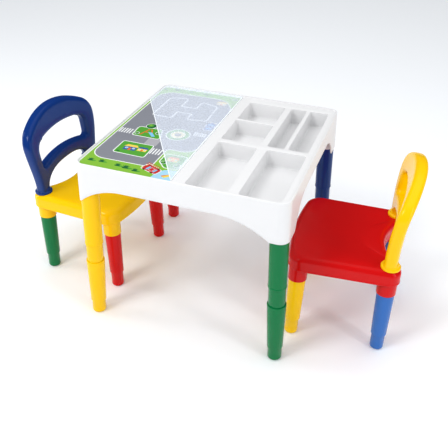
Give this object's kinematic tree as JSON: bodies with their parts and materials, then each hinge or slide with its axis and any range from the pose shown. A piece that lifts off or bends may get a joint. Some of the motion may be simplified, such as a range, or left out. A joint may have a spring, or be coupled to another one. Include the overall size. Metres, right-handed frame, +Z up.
{
  "type": "kids table and chairs",
  "caption": "Child's activity table with an organiser tray, printed play panel under a lift-off translucent cover, and plug-together chairs in bright plastic.",
  "frame": {"origin": "on the floor, under the middle of the whole group, which is also the middle of the table", "axes": "+X from the yellow chair to the red chair, +Y from the front of the table to its back, +Z up"},
  "size_m": [1.0342, 0.5366, 0.469],
  "materials": {
    "white": "glossy moulded",
    "yellow": "glossy moulded",
    "red": "glossy moulded",
    "navy_blue": "glossy moulded",
    "mid_blue": "glossy moulded",
    "green": "glossy moulded",
    "printed_sheet": "printed, satin",
    "clear_plastic": "translucent, satin"
  },
  "bodies": {
    "table": {"table_top": "white", "organiser_tray": "white", "play_sheet": "printed_sheet", "upper_leg_front_left": "yellow", "lower_leg_front_left": "yellow", "upper_leg_front_right": "green", "lower_leg_front_right": "green", "upper_leg_back_right": "navy_blue", "lower_leg_back_right": "navy_blue", "upper_leg_back_left": "red", "lower_leg_back_left": "red"},
    "cover": {"clear_cover": "clear_plastic"},
    "yellow_chair": {"yellow_seat": "yellow", "blue_backrest": "navy_blue", "yellow_chair_leg_front_left": "red", "yellow_chair_leg_front_right": "red", "yellow_chair_leg_rear_left": "green", "yellow_chair_leg_rear_right": "green"},
    "red_chair": {"red_seat": "red", "yellow_backrest": "yellow", "red_chair_leg_front_left": "yellow", "red_chair_leg_front_right": "yellow", "red_chair_leg_rear_left": "mid_blue", "red_chair_leg_rear_right": "mid_blue"}
  },
  "joints": [
    {"name": "cover_lift", "type": "slide", "parent": "table", "child": "cover", "axis": [0, 0, 1], "range_m": [0, 0.06]},
    {"name": "yellow_chair_slide", "type": "slide", "parent": "table", "child": "yellow_chair", "axis": [-0.9996, 0.0279, 0], "range_m": [-0.15, 0.35]},
    {"name": "red_chair_slide", "type": "slide", "parent": "table", "child": "red_chair", "axis": [0.9982, 0.0593, 0], "range_m": [-0.15, 0.35]}
  ]
}
